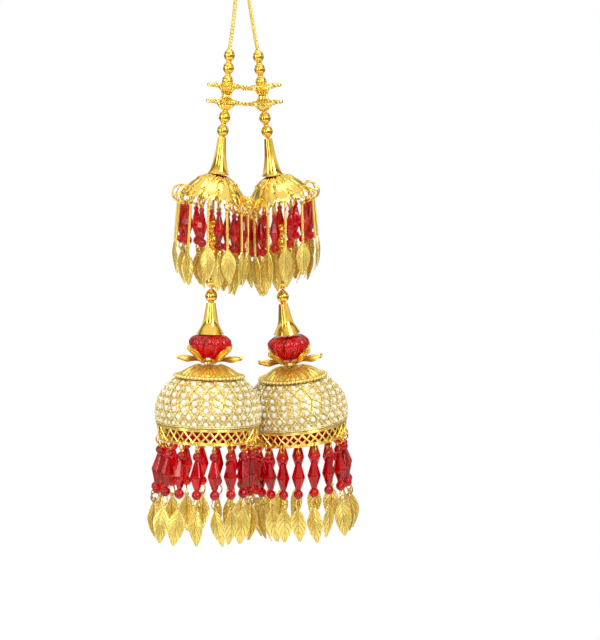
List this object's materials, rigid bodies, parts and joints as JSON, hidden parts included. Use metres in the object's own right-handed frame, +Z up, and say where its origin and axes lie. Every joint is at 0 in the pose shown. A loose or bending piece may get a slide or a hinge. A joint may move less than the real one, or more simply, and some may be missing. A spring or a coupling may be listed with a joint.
{
  "type": "bridal kalira wrist ornament",
  "caption": "Gold-toned bridal ornament hung by a twisted cord: strands of beads, cones and flower caps carry pearl domes fringed with red glass drops and embossed leaves.",
  "frame": {"origin": "under the top of the cord loop, where a peg, hook or bangle carries the ornament", "axes": "+Z up, +X to the right and -Y to the front, as the ornament hangs"},
  "size_m": [0.0803, 0.069, 0.2096],
  "materials": {
    "gold": "polished gold plating",
    "leaf": "satin gold plating over stamped veins",
    "ruby": "cut and polished red glass",
    "pearl": "pearl beads in a gold wire lattice",
    "cord": "twisted metallic gold thread"
  },
  "bodies": {
    "root": {"cord_loop": "cord", "left_thread": "cord", "left_spacer_upper": "gold", "left_spacer_lower": "gold", "left_upper_cone": "gold", "left_flower_cap": "gold", "left_inner_beads": "gold", "left_lower_cone": "gold", "left_red_bead": "ruby", "left_lotus_cap": "gold", "left_filigree_cap": "gold", "left_pearl_dome": "pearl", "left_gallery_band": "gold", "left_cap_rings": "gold", "left_cap_drops": "ruby", "left_cap_leaves": "leaf", "left_cap_chains": "leaf", "left_dome_rings": "gold", "left_dome_drops": "ruby", "left_dome_leaves": "leaf", "left_top_bead_1": "gold", "left_top_bead_2": "gold", "left_top_bead_3": "gold", "left_mid_bead_1": "gold", "left_mid_bead_2": "gold", "right_thread": "cord", "right_spacer_upper": "gold", "right_spacer_lower": "gold", "right_upper_cone": "gold", "right_flower_cap": "gold", "right_inner_beads": "gold", "right_lower_cone": "gold", "right_red_bead": "ruby", "right_lotus_cap": "gold", "right_filigree_cap": "gold", "right_pearl_dome": "pearl", "right_gallery_band": "gold", "right_cap_rings": "gold", "right_cap_drops": "ruby", "right_cap_leaves": "leaf", "right_cap_chains": "leaf", "right_dome_rings": "gold", "right_dome_drops": "ruby", "right_dome_leaves": "leaf", "right_top_bead_1": "gold", "right_top_bead_2": "gold", "right_top_bead_3": "gold", "right_mid_bead_1": "gold", "right_mid_bead_2": "gold"}
  },
  "joints": []
}
